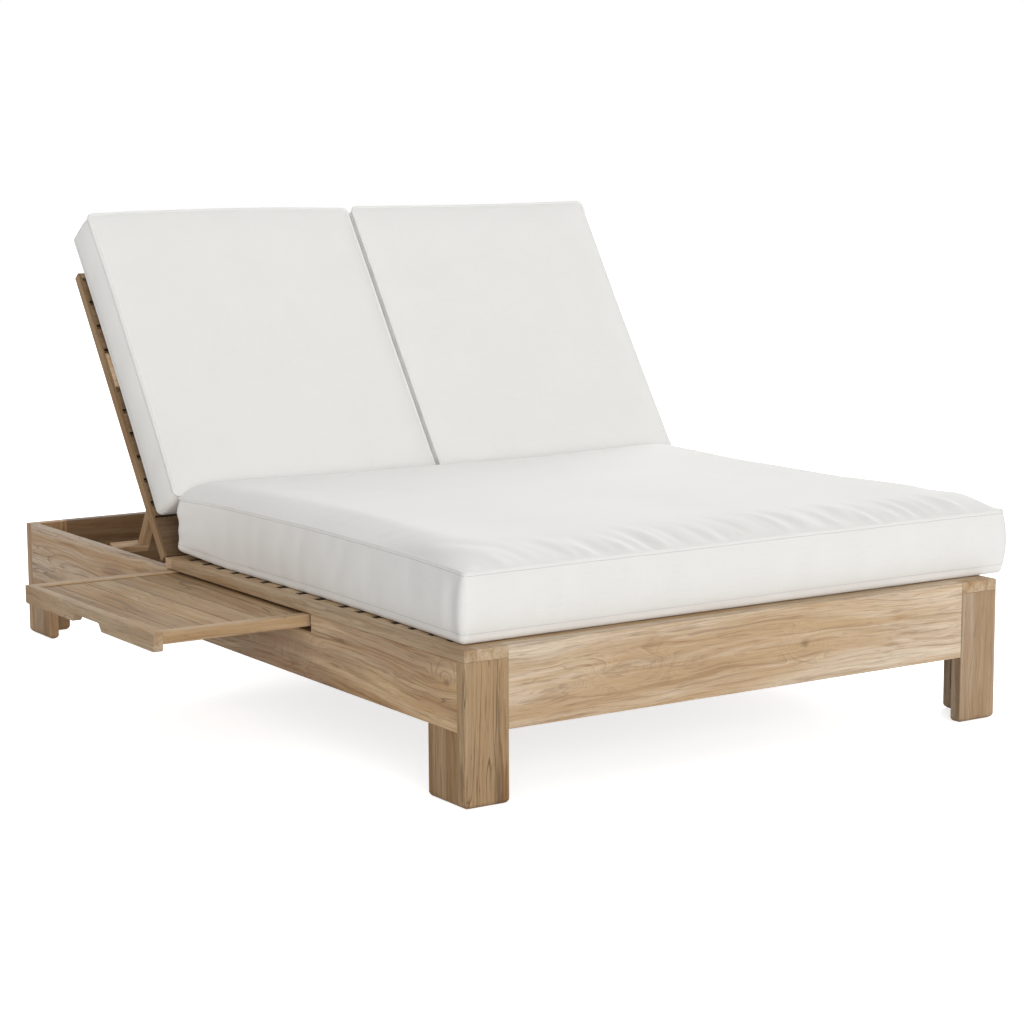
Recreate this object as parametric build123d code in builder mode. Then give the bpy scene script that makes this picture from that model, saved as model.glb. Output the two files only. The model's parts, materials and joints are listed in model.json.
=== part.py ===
from build123d import *
import os
from math import cos, radians, sin

# Double chaise lounger: a low slatted hardwood box on four legs, a full-width reclining back
# on a folding prop, two pull-out side trays and loose cushions. Millimetres.
# The origin is on the floor under the front left leg, in the middle of its front board.
# +X runs to the right side, +Y to the head end and +Z up.
# At rest the back stands at its steepest, the left tray is drawn out and the right tray is in.

# The box
box_width = 1370.0
box_length = 2128.0
deck_height = 310.0
rail_height = 140.0
board = 24.0
front_board = 29.0
glue_line = 0.2
corner_block = 40.0
corner_block_raise = 60.0
beam_width = 48.0
front_beam_height = 120.0

# The legs
leg_width = 100.0
leg_depth = 105.0
foot_round = 11.0

# The deck
deck_side_width = 28.0
deck_rear_width = 28.0
tongue_length = 10.0
tongue_thickness = 10.0
slat_gap = 22.0
deck_gap_shares = (0.078, 0.1325, 0.1895, 0.2427, 0.2997, 0.3529, 0.4068, 0.4854,
                   0.547, 0.6156, 0.674, 0.7296, 0.7827, 0.8374, 0.8921, 0.9453)

# The back frame, measured up its length from the hinge axis and inwards from its front face
back_angle = 54.85
back_length = 778.0
flat_clearance = 0.5
back_lip = 7.5
back_slat_thickness = 12.0
back_slat_gap = 12.5
back_stile_width = 60.0
hinge_rail_width = 60.0
top_rail_width = 40.0
back_gap_shares = (0.1311, 0.1812, 0.2596, 0.3393, 0.4203, 0.5013, 0.5803, 0.7159,
                   0.8033, 0.8895, 0.9781)
back_end_gap = 20.5

# The hinges
hinge_leaf = 2.0
hinge_leaf_height = 20.0
hinge_length = 72.0
hinge_offset = 2.5
knuckle_radius = 2.4
hinge_pin_radius = 1.2
knuckle_gap = 0.3
running_clearance = 0.05
hinge_place_shares = (0.09, 0.36, 0.64, 0.91)

# The prop
prop_angle = 59.5
prop_pivot_up = 371.3
prop_pivot_depth = 36.0
prop_arm_length = 370.0
prop_arm_width = 22.0
prop_arm_thickness = 21.0
prop_arm_inset = 137.0
prop_foot_height = 20.0
prop_foot_outset = 77.0
prop_end_gap = 37.2
prop_pin_radius = 6.0
spreader_up = 70.0
spreader_height = 40.0
bracket_thickness = 24.0
bracket_length = 62.0
bracket_back = 14.0
bracket_side_gap = 0.5
bracket_corner = 8.0

# The racks and their ledgers
rack_inset = 84.0
rack_thickness = 24.0
rack_raise = 55.0
rack_seat_gap = 0.4
rack_step_down = 7.2
rack_notch_depth = 9.0
rack_notch_lead = 16.0
rack_notch_heel = 12.0
rack_step_shares = (0.8, 0.6, 0.4, 0.2)
ledger_length = 282.0
ledger_depth = 20.0
ledger_height = 24.0
beam_notch_clearance = 6.0

# The trays
slot_length = 692.0
slot_rear_gap = 5.0
slot_depth = 38.0
tray_side_gap = 13.0
tray_top_gap = 2.0
tray_out = 331.5
tray_inner_gap = 80.0
tray_rail_height = 25.6
tray_rail_thickness = 23.0
tray_end_thickness = 21.0
tray_end_height = 40.5
tray_end_corner = 6.0
tray_close_gap = 0.5
tray_notch_length = 150.0
tray_notch_depth = 17.0
tray_notch_slant = 14.0
tray_notch_round = 6.0
tray_recess = 5.0
plank_thickness = 12.0
plank_tongue = 8.0
plank_pitch = 66.2
plank_gap = 0.8
first_plank = 45.5
stop_width = 20.0
stop_drop = 8.0
stop_gap = 0.3
stop_end_gap = 8.0
runner_gap = 0.3
runner_side_gap = 1.5
runner_wall = 10.0
runner_wall_height = 22.0
runner_ledge_height = 24.0
runner_ledge_lap = 3.0

# The cushions, seam to seam: they lie loose, a little to the right of the box
seat_cushion_left = 27.0
seat_cushion_right = 54.0
seat_cushion_front = 41.0
seat_cushion_rear = 23.0
seat_cushion_fall = 15.0
seat_cushion_boxing = 125.0
seat_cushion_crown = 30.0
seat_draw_left = 33.0
seat_draw_left_low = 11.0
seat_draw_right = 12.0
seat_draw_ends = 6.0
back_cushion_left = 13.0
back_cushion_right = 70.0
back_cushion_shift = 50.0
back_cushion_gap = 17.0
back_cushion_start = 110.0
back_cushion_over = 98.0
back_cushion_fall = 14.0
back_cushion_boxing = 92.0
back_cushion_crown = 13.0
back_draw = 4.0
cushion_corner = 24.0
cushion_bulge = 6.0
cushion_roll = 16.0
cushion_crown_inset = 95.0
cushion_steps = 4

# Planes and levels that the pieces share
box_left = -leg_width / 2
box_right = box_left + box_width
box_middle = box_left + box_width / 2
box_front = -front_board / 2
box_rear = box_front + box_length
rail_top = deck_height - board
rail_low = rail_top - rail_height
rail_front = box_front + front_board
rail_rear = box_rear - front_board
rack_foot = rail_low + rack_raise
well_length = hinge_offset + max(back_length + back_end_gap,
                                 prop_pivot_up + prop_arm_length + prop_foot_height + prop_end_gap)
deck_length = box_length - front_board - well_length
deck_rear = box_front + deck_length
deck_cross_front = deck_rear - deck_rear_width
hinge_y = deck_rear + hinge_offset
hinge_z = deck_height
back_board = board - flat_clearance
hinge_beam_rear = deck_rear + board
ledger_front = rail_rear - ledger_depth
sides = ("left", "right")


def from_side(side, start, end):
    # a span in X, measured inwards from the box's outer face on that side
    if side == "left":
        return box_left + start, box_left + end
    return box_right - end, box_right - start


def from_end(end_name, start, end):
    # a span in Y, measured inwards from the box's outer face at that end
    if end_name == "front":
        return box_front + start, box_front + end
    return box_rear - end, box_rear - start


def behind(near, far):
    # a span in depth behind the back frame's front face
    return -far, -near


def add_board(plane, x_span, y_span, z_span, mode=Mode.ADD):
    # a square-edged board between three spans of the given plane
    with BuildSketch(plane.offset(z_span[0])) as outline:
        with Locations(((x_span[0] + x_span[1]) / 2, (y_span[0] + y_span[1]) / 2)):
            Rectangle(x_span[1] - x_span[0], y_span[1] - y_span[0])
    extrude(outline.sketch, amount=z_span[1] - z_span[0], mode=mode)


def side_plane(x, y, z, angle):
    # a plane square to X: its own x runs rearwards, raised by the angle
    along = (0, cos(radians(angle)), sin(radians(angle)))
    return Plane(origin=(x, y, z), x_dir=along, z_dir=(1, 0, 0))


def tilted_plane(y, z, angle):
    # a plane that holds X: its own y runs rearwards, raised by the angle
    normal = (0, -sin(radians(angle)), cos(radians(angle)))
    return Plane(origin=(0, y, z), x_dir=(1, 0, 0), z_dir=normal)


back_plane = tilted_plane(hinge_y, hinge_z, back_angle)
os.makedirs("parts", exist_ok=True)

# Front and rear rails, between the legs' face boards
between_legs = (box_left + leg_width, box_right - leg_width)
with BuildPart() as front_rail:
    add_board(Plane.XY, between_legs, (box_front, rail_front), (rail_low, deck_height))
front_rail.part.label = "front_rail"
export_step(front_rail.part, "parts/front_rail.step")

with BuildPart() as rear_rail:
    add_board(Plane.XY, between_legs, (rail_rear, box_rear), (rail_low, rail_top))
rear_rail.part.label = "rear_rail"
export_step(rear_rail.part, "parts/rear_rail.step")

# Side rails, each with the tray's slot let into its top edge
slot_span = (deck_rear - slot_rear_gap - slot_length, deck_rear - slot_rear_gap)
slot_low = rail_top - slot_depth
for side in sides:
    with BuildPart() as side_rail:
        add_board(Plane.XY, from_side(side, 0, board), (rail_front, rail_rear), (rail_low, rail_top))
        add_board(Plane.XY, from_side(side, 0, board), slot_span, (slot_low, rail_top), Mode.SUBTRACT)
    side_rail.part.label = f"{side}_side_rail"
    export_step(side_rail.part, f"parts/{side}_side_rail.step")

# Legs: a face board up to the deck and a side board under the side rail, rounded at the floor
for end_name in ("front", "rear"):
    for side in sides:
        with BuildPart() as leg:
            face_span = from_end(end_name, 0, front_board)
            add_board(Plane.XY, from_side(side, 0, leg_width), face_span, (0, rail_top))
            foot_edges = leg.edges().group_by(Axis.Z)[0].sort_by(Axis.Y)
            fillet(foot_edges[:-1] if end_name == "front" else foot_edges[1:], foot_round)
            side_span = from_end(end_name, front_board + glue_line, front_board + leg_depth)
            with BuildSketch(Plane.XY):
                with Locations((sum(from_side(side, 0, board)) / 2, sum(side_span) / 2)):
                    Rectangle(board, side_span[1] - side_span[0])
            extrude(amount=rail_low)
            side_edges = leg.edges(Select.LAST).group_by(Axis.Z)[0].sort_by(Axis.Y)
            fillet(side_edges[1:] if end_name == "front" else side_edges[:-1], foot_round)
        leg.part.label = f"{end_name}_{side}_leg"
        export_step(leg.part, f"parts/{end_name}_{side}_leg.step")

# Corner blocks, glued inside the corners; the rear ones stop under the rack ledgers
with BuildPart() as corner_blocks:
    for end_name, block_top in (("front", rail_top), ("rear", rack_foot)):
        for side in sides:
            add_board(Plane.XY, from_side(side, board, board + corner_block),
                      from_end(end_name, front_board, front_board + corner_block),
                      (corner_block_raise, block_top))
corner_blocks.part.label = "corner_blocks"
export_step(corner_blocks.part, "parts/corner_blocks.step")

# Beams: one under the slats, one under the hinge line and one under the middle of the flat back
beam_span = (box_middle - beam_width / 2, box_middle + beam_width / 2)
with BuildPart() as front_centre_beam:
    add_board(Plane.XY, beam_span, (rail_front, deck_rear), (rail_top - front_beam_height, rail_top))
front_centre_beam.part.label = "front_centre_beam"
export_step(front_centre_beam.part, "parts/front_centre_beam.step")

with BuildPart() as hinge_beam:
    add_board(Plane.XY, (box_left + board, box_right - board), (deck_rear, hinge_beam_rear),
              (rail_low, rail_top))
hinge_beam.part.label = "hinge_beam"
export_step(hinge_beam.part, "parts/hinge_beam.step")

spreader_rest = hinge_y + prop_pivot_up + spreader_up
spreader_notch = (spreader_rest - beam_notch_clearance,
                  spreader_rest + spreader_height + beam_notch_clearance)
spreader_low = hinge_z - prop_pivot_depth - prop_arm_width / 2
with BuildPart() as rear_centre_beam:
    add_board(Plane.XY, beam_span, (hinge_beam_rear, rail_rear), (rail_low, rail_top))
    add_board(Plane.XY, beam_span, spreader_notch, (spreader_low - beam_notch_clearance, rail_top),
              Mode.SUBTRACT)
rear_centre_beam.part.label = "rear_centre_beam"
export_step(rear_centre_beam.part, "parts/rear_centre_beam.step")

# Deck side boards, on the side rails, grooved for the slats' tongues
tongue_low = deck_height - board / 2 - tongue_thickness / 2
tongue_span = (tongue_low, tongue_low + tongue_thickness)
for side in sides:
    with BuildPart() as deck_side_board:
        add_board(Plane.XY, from_side(side, 0, deck_side_width), (box_front, deck_cross_front),
                  (rail_top, deck_height))
        add_board(Plane.XY, from_side(side, deck_side_width - tongue_length, deck_side_width),
                  (rail_front, deck_cross_front), tongue_span, Mode.SUBTRACT)
    deck_side_board.part.label = f"{side}_deck_board"
    export_step(deck_side_board.part, f"parts/{side}_deck_board.step")

# Short staves that fill the deck over each front leg, beside the deck side board
stave_width = (leg_width - deck_side_width) / 2
for side in sides:
    with BuildPart() as corner_staves:
        for start in (deck_side_width, deck_side_width + stave_width):
            add_board(Plane.XY, from_side(side, start + glue_line, start + stave_width),
                      (box_front, rail_front), (rail_top, deck_height))
    corner_staves.part.label = f"{side}_corner_staves"
    export_step(corner_staves.part, f"parts/{side}_corner_staves.step")

# Deck cross rail at the hinge line
with BuildPart() as deck_rear_rail:
    add_board(Plane.XY, (box_left, box_right), (deck_cross_front, deck_rear), (rail_top, deck_height))
deck_rear_rail.part.label = "deck_rear_rail"
export_step(deck_rear_rail.part, "parts/deck_rear_rail.step")

# Seat slats, tongued into the deck side boards and lying on the centre beam
deck_gaps = [box_front + share * deck_length for share in deck_gap_shares]
slat_fronts = [rail_front] + [gap + slat_gap / 2 for gap in deck_gaps]
slat_rears = [gap - slat_gap / 2 for gap in deck_gaps] + [deck_cross_front - glue_line]
slat_x = (box_left + deck_side_width, box_right - deck_side_width)
with BuildPart() as seat_slats:
    for slat_front, slat_rear in zip(slat_fronts, slat_rears):
        add_board(Plane.XY, slat_x, (slat_front, slat_rear), (rail_top, deck_height))
        add_board(Plane.XY, (slat_x[0] - tongue_length, slat_x[1] + tongue_length),
                  (slat_front, slat_rear), tongue_span)
seat_slats.part.label = "seat_slats"
export_step(seat_slats.part, "parts/seat_slats.step")

# Hinges: the deck leaf carries the two outer knuckles and the pin, the back leaf the middle one
hinge_places = [box_left + share * box_width for share in hinge_place_shares]
knuckle_length = hinge_length / 3
leaf_relief = knuckle_radius + knuckle_gap


def add_knuckle(start, length, bore_radius):
    with BuildSketch(side_plane(start, hinge_y, hinge_z, 0)) as ring:
        Circle(knuckle_radius)
        Circle(bore_radius, mode=Mode.SUBTRACT)
    extrude(ring.sketch, amount=length)


def cut_pin_way(start, length, bore_radius):
    with BuildSketch(side_plane(start, hinge_y, hinge_z, 0)) as way:
        Circle(bore_radius)
    extrude(way.sketch, amount=length, mode=Mode.SUBTRACT)


with BuildPart() as deck_hinge_leaves:
    for place in hinge_places:
        leaf_left = place - hinge_length / 2
        leaf_x = (leaf_left, leaf_left + hinge_length)
        leaf_y = (deck_rear, deck_rear + hinge_leaf)
        middle_x = (leaf_left + knuckle_length - knuckle_gap,
                    leaf_left + 2 * knuckle_length + knuckle_gap)
        add_board(Plane.XY, leaf_x, leaf_y, (deck_height - hinge_leaf_height, deck_height))
        add_board(Plane.XY, middle_x, leaf_y, (deck_height - leaf_relief, deck_height), Mode.SUBTRACT)
        for start in (leaf_left, leaf_left + 2 * knuckle_length + knuckle_gap):
            add_knuckle(start, knuckle_length - knuckle_gap, hinge_pin_radius)
            cut_pin_way(start, knuckle_length - knuckle_gap, hinge_pin_radius)
deck_hinge_leaves.part.label = "deck_hinge_leaves"
export_step(deck_hinge_leaves.part, "parts/deck_hinge_leaves.step")

with BuildPart() as hinge_pins:
    for place in hinge_places:
        with BuildSketch(side_plane(place - hinge_length / 2, hinge_y, hinge_z, 0)):
            Circle(hinge_pin_radius)
        extrude(amount=hinge_length)
hinge_pins.part.label = "hinge_pins"
export_step(hinge_pins.part, "parts/hinge_pins.step")

with BuildPart() as back_hinge_leaves:
    for place in hinge_places:
        leaf_left = place - hinge_length / 2
        leaf_x = (leaf_left, leaf_left + hinge_length)
        middle_x = (leaf_left + knuckle_length, leaf_left + 2 * knuckle_length)
        leaf_up = (hinge_offset - hinge_leaf, hinge_offset)
        add_board(back_plane, leaf_x, leaf_up, behind(leaf_relief, hinge_leaf_height))
        add_board(back_plane, middle_x, leaf_up, behind(0, leaf_relief))
        add_knuckle(middle_x[0], knuckle_length, hinge_pin_radius + running_clearance)
        cut_pin_way(middle_x[0], knuckle_length, hinge_pin_radius + running_clearance)
back_hinge_leaves.part.label = "back_hinge_leaves"
export_step(back_hinge_leaves.part, "parts/back_hinge_leaves.step")

# Back frame: rebated outer stiles, with rails and a centre stile behind the slats
for side in sides:
    with BuildPart() as back_stile:
        stile_up = (hinge_offset, back_length)
        add_board(back_plane, from_side(side, 0, back_lip), stile_up, behind(0, back_board))
        add_board(back_plane, from_side(side, 0, back_stile_width), stile_up,
                  behind(back_slat_thickness, back_board))
    back_stile.part.label = f"{side}_back_stile"
    export_step(back_stile.part, f"parts/{side}_back_stile.step")

between_stiles = (box_left + back_stile_width, box_right - back_stile_width)
with BuildPart() as back_hinge_rail:
    add_board(back_plane, between_stiles, (hinge_offset, hinge_offset + hinge_rail_width),
              behind(back_slat_thickness, back_board))
back_hinge_rail.part.label = "back_hinge_rail"
export_step(back_hinge_rail.part, "parts/back_hinge_rail.step")

with BuildPart() as back_top_rail:
    add_board(back_plane, between_stiles, (back_length - top_rail_width, back_length),
              behind(back_slat_thickness, back_board))
back_top_rail.part.label = "back_top_rail"
export_step(back_top_rail.part, "parts/back_top_rail.step")

with BuildPart() as back_centre_stile:
    add_board(back_plane, (box_middle - back_stile_width / 2, box_middle + back_stile_width / 2),
              (hinge_offset + hinge_rail_width, back_length - top_rail_width),
              behind(back_slat_thickness, back_board))
back_centre_stile.part.label = "back_centre_stile"
export_step(back_centre_stile.part, "parts/back_centre_stile.step")

# Boards and slats of the back, flush in the rebates
back_gaps = [share * back_length for share in back_gap_shares]
back_starts = [hinge_offset] + [gap + back_slat_gap / 2 for gap in back_gaps]
back_ends = [gap - back_slat_gap / 2 for gap in back_gaps] + [back_length]
back_slat_x = (box_left + back_lip, box_right - back_lip)
back_slat_depth = behind(0, back_slat_thickness)
back_widths = [end - start for start, end in zip(back_starts, back_ends)]
last_board = len(back_gaps)
middle_board = back_widths.index(max(back_widths[1:]))

with BuildPart() as back_bottom_board:
    add_board(back_plane, back_slat_x, (back_starts[0], back_ends[0]), back_slat_depth)
back_bottom_board.part.label = "back_bottom_board"
export_step(back_bottom_board.part, "parts/back_bottom_board.step")

with BuildPart() as back_middle_board:
    add_board(back_plane, back_slat_x, (back_starts[middle_board], back_ends[middle_board]),
              back_slat_depth)
back_middle_board.part.label = "back_middle_board"
export_step(back_middle_board.part, "parts/back_middle_board.step")

with BuildPart() as back_top_bar:
    add_board(back_plane, back_slat_x, (back_starts[last_board], back_ends[last_board]), back_slat_depth)
back_top_bar.part.label = "back_top_bar"
export_step(back_top_bar.part, "parts/back_top_bar.step")

with BuildPart() as back_slats:
    for number, slat_up in enumerate(zip(back_starts, back_ends)):
        if number not in (0, middle_board, last_board):
            add_board(back_plane, back_slat_x, slat_up, back_slat_depth)
back_slats.part.label = "back_slats"
export_step(back_slats.part, "parts/back_slats.step")

# Prop: two arms on pins in blocks behind the slats, a foot bar on each and a spreader between
along_back = (cos(radians(back_angle)), sin(radians(back_angle)))
pivot_y = hinge_y + prop_pivot_up * along_back[0] + prop_pivot_depth * along_back[1]
pivot_z = hinge_z + prop_pivot_up * along_back[1] - prop_pivot_depth * along_back[0]
prop_plane = tilted_plane(pivot_y, pivot_z, -prop_angle)
arm_half = prop_arm_width / 2

for side in sides:
    arm_x = from_side(side, prop_arm_inset, prop_arm_inset + prop_arm_thickness)
    with BuildPart() as prop_arm:
        with BuildSketch(side_plane(arm_x[0], pivot_y, pivot_z, -prop_angle)) as arm_outline:
            with Locations((prop_arm_length / 2, 0)):
                Rectangle(prop_arm_length, prop_arm_width)
            Circle(arm_half)
            Circle(prop_pin_radius, mode=Mode.SUBTRACT)
        extrude(amount=prop_arm_thickness)
    prop_arm.part.label = f"{side}_prop_arm"
    export_step(prop_arm.part, f"parts/{side}_prop_arm.step")

    foot_x = from_side(side, prop_arm_inset - prop_foot_outset, prop_arm_inset + prop_arm_thickness)
    with BuildPart() as prop_foot:
        add_board(prop_plane, foot_x, (prop_arm_length, prop_arm_length + prop_foot_height),
                  (-arm_half, arm_half))
    prop_foot.part.label = f"{side}_prop_foot"
    export_step(prop_foot.part, f"parts/{side}_prop_foot.step")

    outer_block = prop_arm_inset - bracket_side_gap - bracket_thickness
    inner_block = prop_arm_inset + prop_arm_thickness + bracket_side_gap
    bracket_depth = prop_pivot_depth + bracket_back
    with BuildPart() as prop_bracket:
        for start in (outer_block, inner_block):
            block_x = from_side(side, start, start + bracket_thickness)
            with BuildSketch(side_plane(block_x[0], hinge_y, hinge_z, back_angle)) as block_outline:
                with Locations((prop_pivot_up, -(back_slat_thickness + bracket_depth) / 2)):
                    Rectangle(bracket_length, bracket_depth - back_slat_thickness)
                fillet(block_outline.vertices().group_by(Axis.Y)[0], bracket_corner)
                with Locations((prop_pivot_up, -prop_pivot_depth)):
                    Circle(prop_pin_radius + running_clearance, mode=Mode.SUBTRACT)
            extrude(amount=bracket_thickness)
    prop_bracket.part.label = f"{side}_prop_bracket"
    export_step(prop_bracket.part, f"parts/{side}_prop_bracket.step")

with BuildPart() as prop_spreader:
    arm_inner = prop_arm_inset + prop_arm_thickness
    add_board(prop_plane, (box_left + arm_inner, box_right - arm_inner),
              (spreader_up, spreader_up + spreader_height), (-arm_half, arm_half))
prop_spreader.part.label = "prop_spreader"
export_step(prop_spreader.part, "parts/prop_spreader.step")

pin_length = prop_arm_thickness + 2 * (bracket_side_gap + bracket_thickness)
with BuildPart() as prop_pins:
    for side in sides:
        pin_x = from_side(side, outer_block, outer_block + pin_length)
        with BuildSketch(side_plane(pin_x[0], pivot_y, pivot_z, 0)):
            Circle(prop_pin_radius)
        extrude(amount=pin_length)
prop_pins.part.label = "prop_pins"
export_step(prop_pins.part, "parts/prop_pins.step")


def foot_corner(share):
    # the foot bar's lowest corner in Y and Z, at a share of the back's steepest angle
    back_turn = radians(back_angle * share)
    prop_turn = radians(prop_angle * share)
    reach = prop_arm_length + prop_foot_height
    corner_y = (hinge_y + prop_pivot_up * cos(back_turn) + prop_pivot_depth * sin(back_turn)
                + reach * cos(prop_turn) - arm_half * sin(prop_turn))
    corner_z = (hinge_z + prop_pivot_up * sin(back_turn) - prop_pivot_depth * cos(back_turn)
                - reach * sin(prop_turn) - arm_half * cos(prop_turn))
    return corner_y, corner_z


# Racks: a seat under the foot bar's rest position and a shallow notch for each lower one
seat_y, seat_z = foot_corner(1)
rack_land = seat_z - rack_step_down
rack_points = [(hinge_beam_rear, rack_foot), (hinge_beam_rear, seat_z - rack_seat_gap),
               (seat_y, seat_z - rack_seat_gap), (seat_y + rack_notch_heel, rack_land)]
for share in rack_step_shares:
    step_y = foot_corner(share)[0]
    rack_points += [(step_y - rack_notch_lead, rack_land), (step_y, rack_land - rack_notch_depth),
                    (step_y + rack_notch_heel, rack_land)]
rack_points += [(ledger_front, rack_land), (ledger_front, rack_foot)]
for side in sides:
    rack_x = from_side(side, rack_inset, rack_inset + rack_thickness)
    with BuildPart() as rack:
        with BuildSketch(side_plane(rack_x[0], 0, 0, 0)):
            with BuildLine():
                Polyline(*rack_points, close=True)
            make_face()
        extrude(amount=rack_thickness)
    rack.part.label = f"{side}_rack"
    export_step(rack.part, f"parts/{side}_rack.step")

    with BuildPart() as rack_ledger:
        add_board(Plane.XY, from_side(side, board, board + ledger_length), (ledger_front, rail_rear),
                  (rack_foot, rack_foot + ledger_height))
    rack_ledger.part.label = f"{side}_rack_ledger"
    export_step(rack_ledger.part, f"parts/{side}_rack_ledger.step")

# Trays: a notched end board, two grooved rails, planks, an inner rail and a stop strip
tray_travel = tray_out - tray_close_gap
tray_inside = box_width / 2 - beam_width / 2 - tray_travel - tray_inner_gap
tray_y = (slot_span[0] + tray_side_gap, slot_span[1] - tray_side_gap)
tray_middle = (tray_y[0] + tray_y[1]) / 2
tray_notch_half = tray_notch_length / 2
tray_top = rail_top - tray_top_gap
tray_low = tray_top - tray_rail_height
tray_end_low = tray_top - tray_end_height
tray_notch_top = tray_end_low + tray_notch_depth
plank_span = (tray_top - tray_recess - plank_thickness, tray_top - tray_recess)
between_rails = (tray_y[0] + tray_rail_thickness, tray_y[1] - tray_rail_thickness)
plank_y = (between_rails[0] - plank_tongue, between_rails[1] + plank_tongue)
panel_length = tray_out + tray_inside - tray_rail_thickness

for side, shift in (("left", 0), ("right", tray_travel)):
    end_x = from_side(side, shift - tray_out - tray_end_thickness, shift - tray_out)
    with BuildPart() as tray_end:
        with BuildSketch(side_plane(end_x[0], 0, 0, 0)) as end_outline:
            with Locations((tray_middle, (tray_end_low + tray_top) / 2)):
                Rectangle(tray_y[1] - tray_y[0], tray_end_height)
            with BuildLine():
                Polyline((tray_middle - tray_notch_half, tray_end_low),
                         (tray_middle - tray_notch_half + tray_notch_slant, tray_notch_top),
                         (tray_middle + tray_notch_half - tray_notch_slant, tray_notch_top),
                         (tray_middle + tray_notch_half, tray_end_low), close=True)
            make_face(mode=Mode.SUBTRACT)
            fillet(end_outline.vertices().group_by(Axis.Y)[0], tray_end_corner)
            fillet(end_outline.vertices().filter_by_position(
                Axis.Y, tray_notch_top - glue_line, tray_notch_top + glue_line), tray_notch_round)
        extrude(amount=tray_end_thickness)
    tray_end.part.label = f"{side}_tray_end"
    export_step(tray_end.part, f"parts/{side}_tray_end.step")

    rail_x = from_side(side, shift - tray_out, shift + tray_inside)
    for rail_name, rail_y, groove_y in (
            ("front", (tray_y[0], between_rails[0]), (plank_y[0], between_rails[0])),
            ("rear", (between_rails[1], tray_y[1]), (between_rails[1], plank_y[1]))):
        with BuildPart() as tray_rail:
            add_board(Plane.XY, rail_x, rail_y, (tray_low, tray_top))
            add_board(Plane.XY, rail_x, groove_y, plank_span, Mode.SUBTRACT)
        tray_rail.part.label = f"{side}_tray_{rail_name}_rail"
        export_step(tray_rail.part, f"parts/{side}_tray_{rail_name}_rail.step")

    with BuildPart() as tray_inner_rail:
        add_board(Plane.XY, from_side(side, shift + tray_inside - tray_rail_thickness, shift + tray_inside),
                  between_rails, (tray_low, tray_top))
    tray_inner_rail.part.label = f"{side}_tray_inner_rail"
    export_step(tray_inner_rail.part, f"parts/{side}_tray_inner_rail.step")

    with BuildPart() as tray_planks:
        plank_start = 0
        plank_end = first_plank
        while plank_start < panel_length:
            plank_end = min(plank_end, panel_length)
            gap_after = plank_gap if plank_end < panel_length else 0
            plank_x = from_side(side, shift - tray_out + plank_start,
                                shift - tray_out + plank_end - gap_after)
            add_board(Plane.XY, plank_x, plank_y, plank_span)
            plank_start = plank_end
            plank_end = plank_start + plank_pitch
    tray_planks.part.label = f"{side}_tray_planks"
    export_step(tray_planks.part, f"parts/{side}_tray_planks.step")

    with BuildPart() as tray_stop:
        stop_start = shift + board + stop_gap
        add_board(Plane.XY, from_side(side, stop_start, stop_start + stop_width),
                  (between_rails[0] + stop_end_gap, between_rails[1] - stop_end_gap),
                  (slot_low - stop_drop, plank_span[0]))
    tray_stop.part.label = f"{side}_tray_stop"
    export_step(tray_stop.part, f"parts/{side}_tray_stop.step")

# Tray runners: L-shaped ledges from the side rails to the centre beam, one pair in front and one behind
ledge_top = tray_low - runner_gap
front_wall = (tray_y[0] - runner_side_gap - runner_wall, tray_y[0] - runner_side_gap)
rear_wall = (tray_y[1] + runner_side_gap, tray_y[1] + runner_side_gap + runner_wall)
for place, wall_y, ledge_y in (
        ("front", front_wall, (front_wall[0], between_rails[0] + runner_ledge_lap)),
        ("rear", rear_wall, (between_rails[1] - runner_ledge_lap, rear_wall[1]))):
    with BuildPart() as tray_runners:
        for runner_x in ((box_left + board, beam_span[0]), (beam_span[1], box_right - board)):
            add_board(Plane.XY, runner_x, ledge_y, (ledge_top - runner_ledge_height, ledge_top))
            add_board(Plane.XY, runner_x, wall_y, (ledge_top, ledge_top + runner_wall_height))
    tray_runners.part.label = f"{place}_tray_runners"
    export_step(tray_runners.part, f"parts/{place}_tray_runners.step")


# Cushions: flat underside, rolled to the lower seam, bowed boxing and a crowned top
def cushion_profile(fall, boxing, crown):
    # pairs of height and inset from the seam line, from the underside to the top
    quarter = [radians(90 * step / cushion_steps) for step in range(cushion_steps + 1)]
    profile = [(fall * (1 - cos(turn)), cushion_roll * (1 - sin(turn))) for turn in quarter]
    half_boxing = boxing / 2
    profile += [(fall + half_boxing * turn / quarter[-1], -cushion_bulge * sin(turn))
                for turn in quarter[1:]]
    profile += [(fall + boxing - half_boxing * turn / quarter[-1], -cushion_bulge * sin(turn))
                for turn in quarter[-2::-1]]
    profile += [(fall + boxing + crown * sin(turn), cushion_crown_inset * (1 - cos(turn)))
                for turn in quarter[1:]]
    return profile


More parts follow.
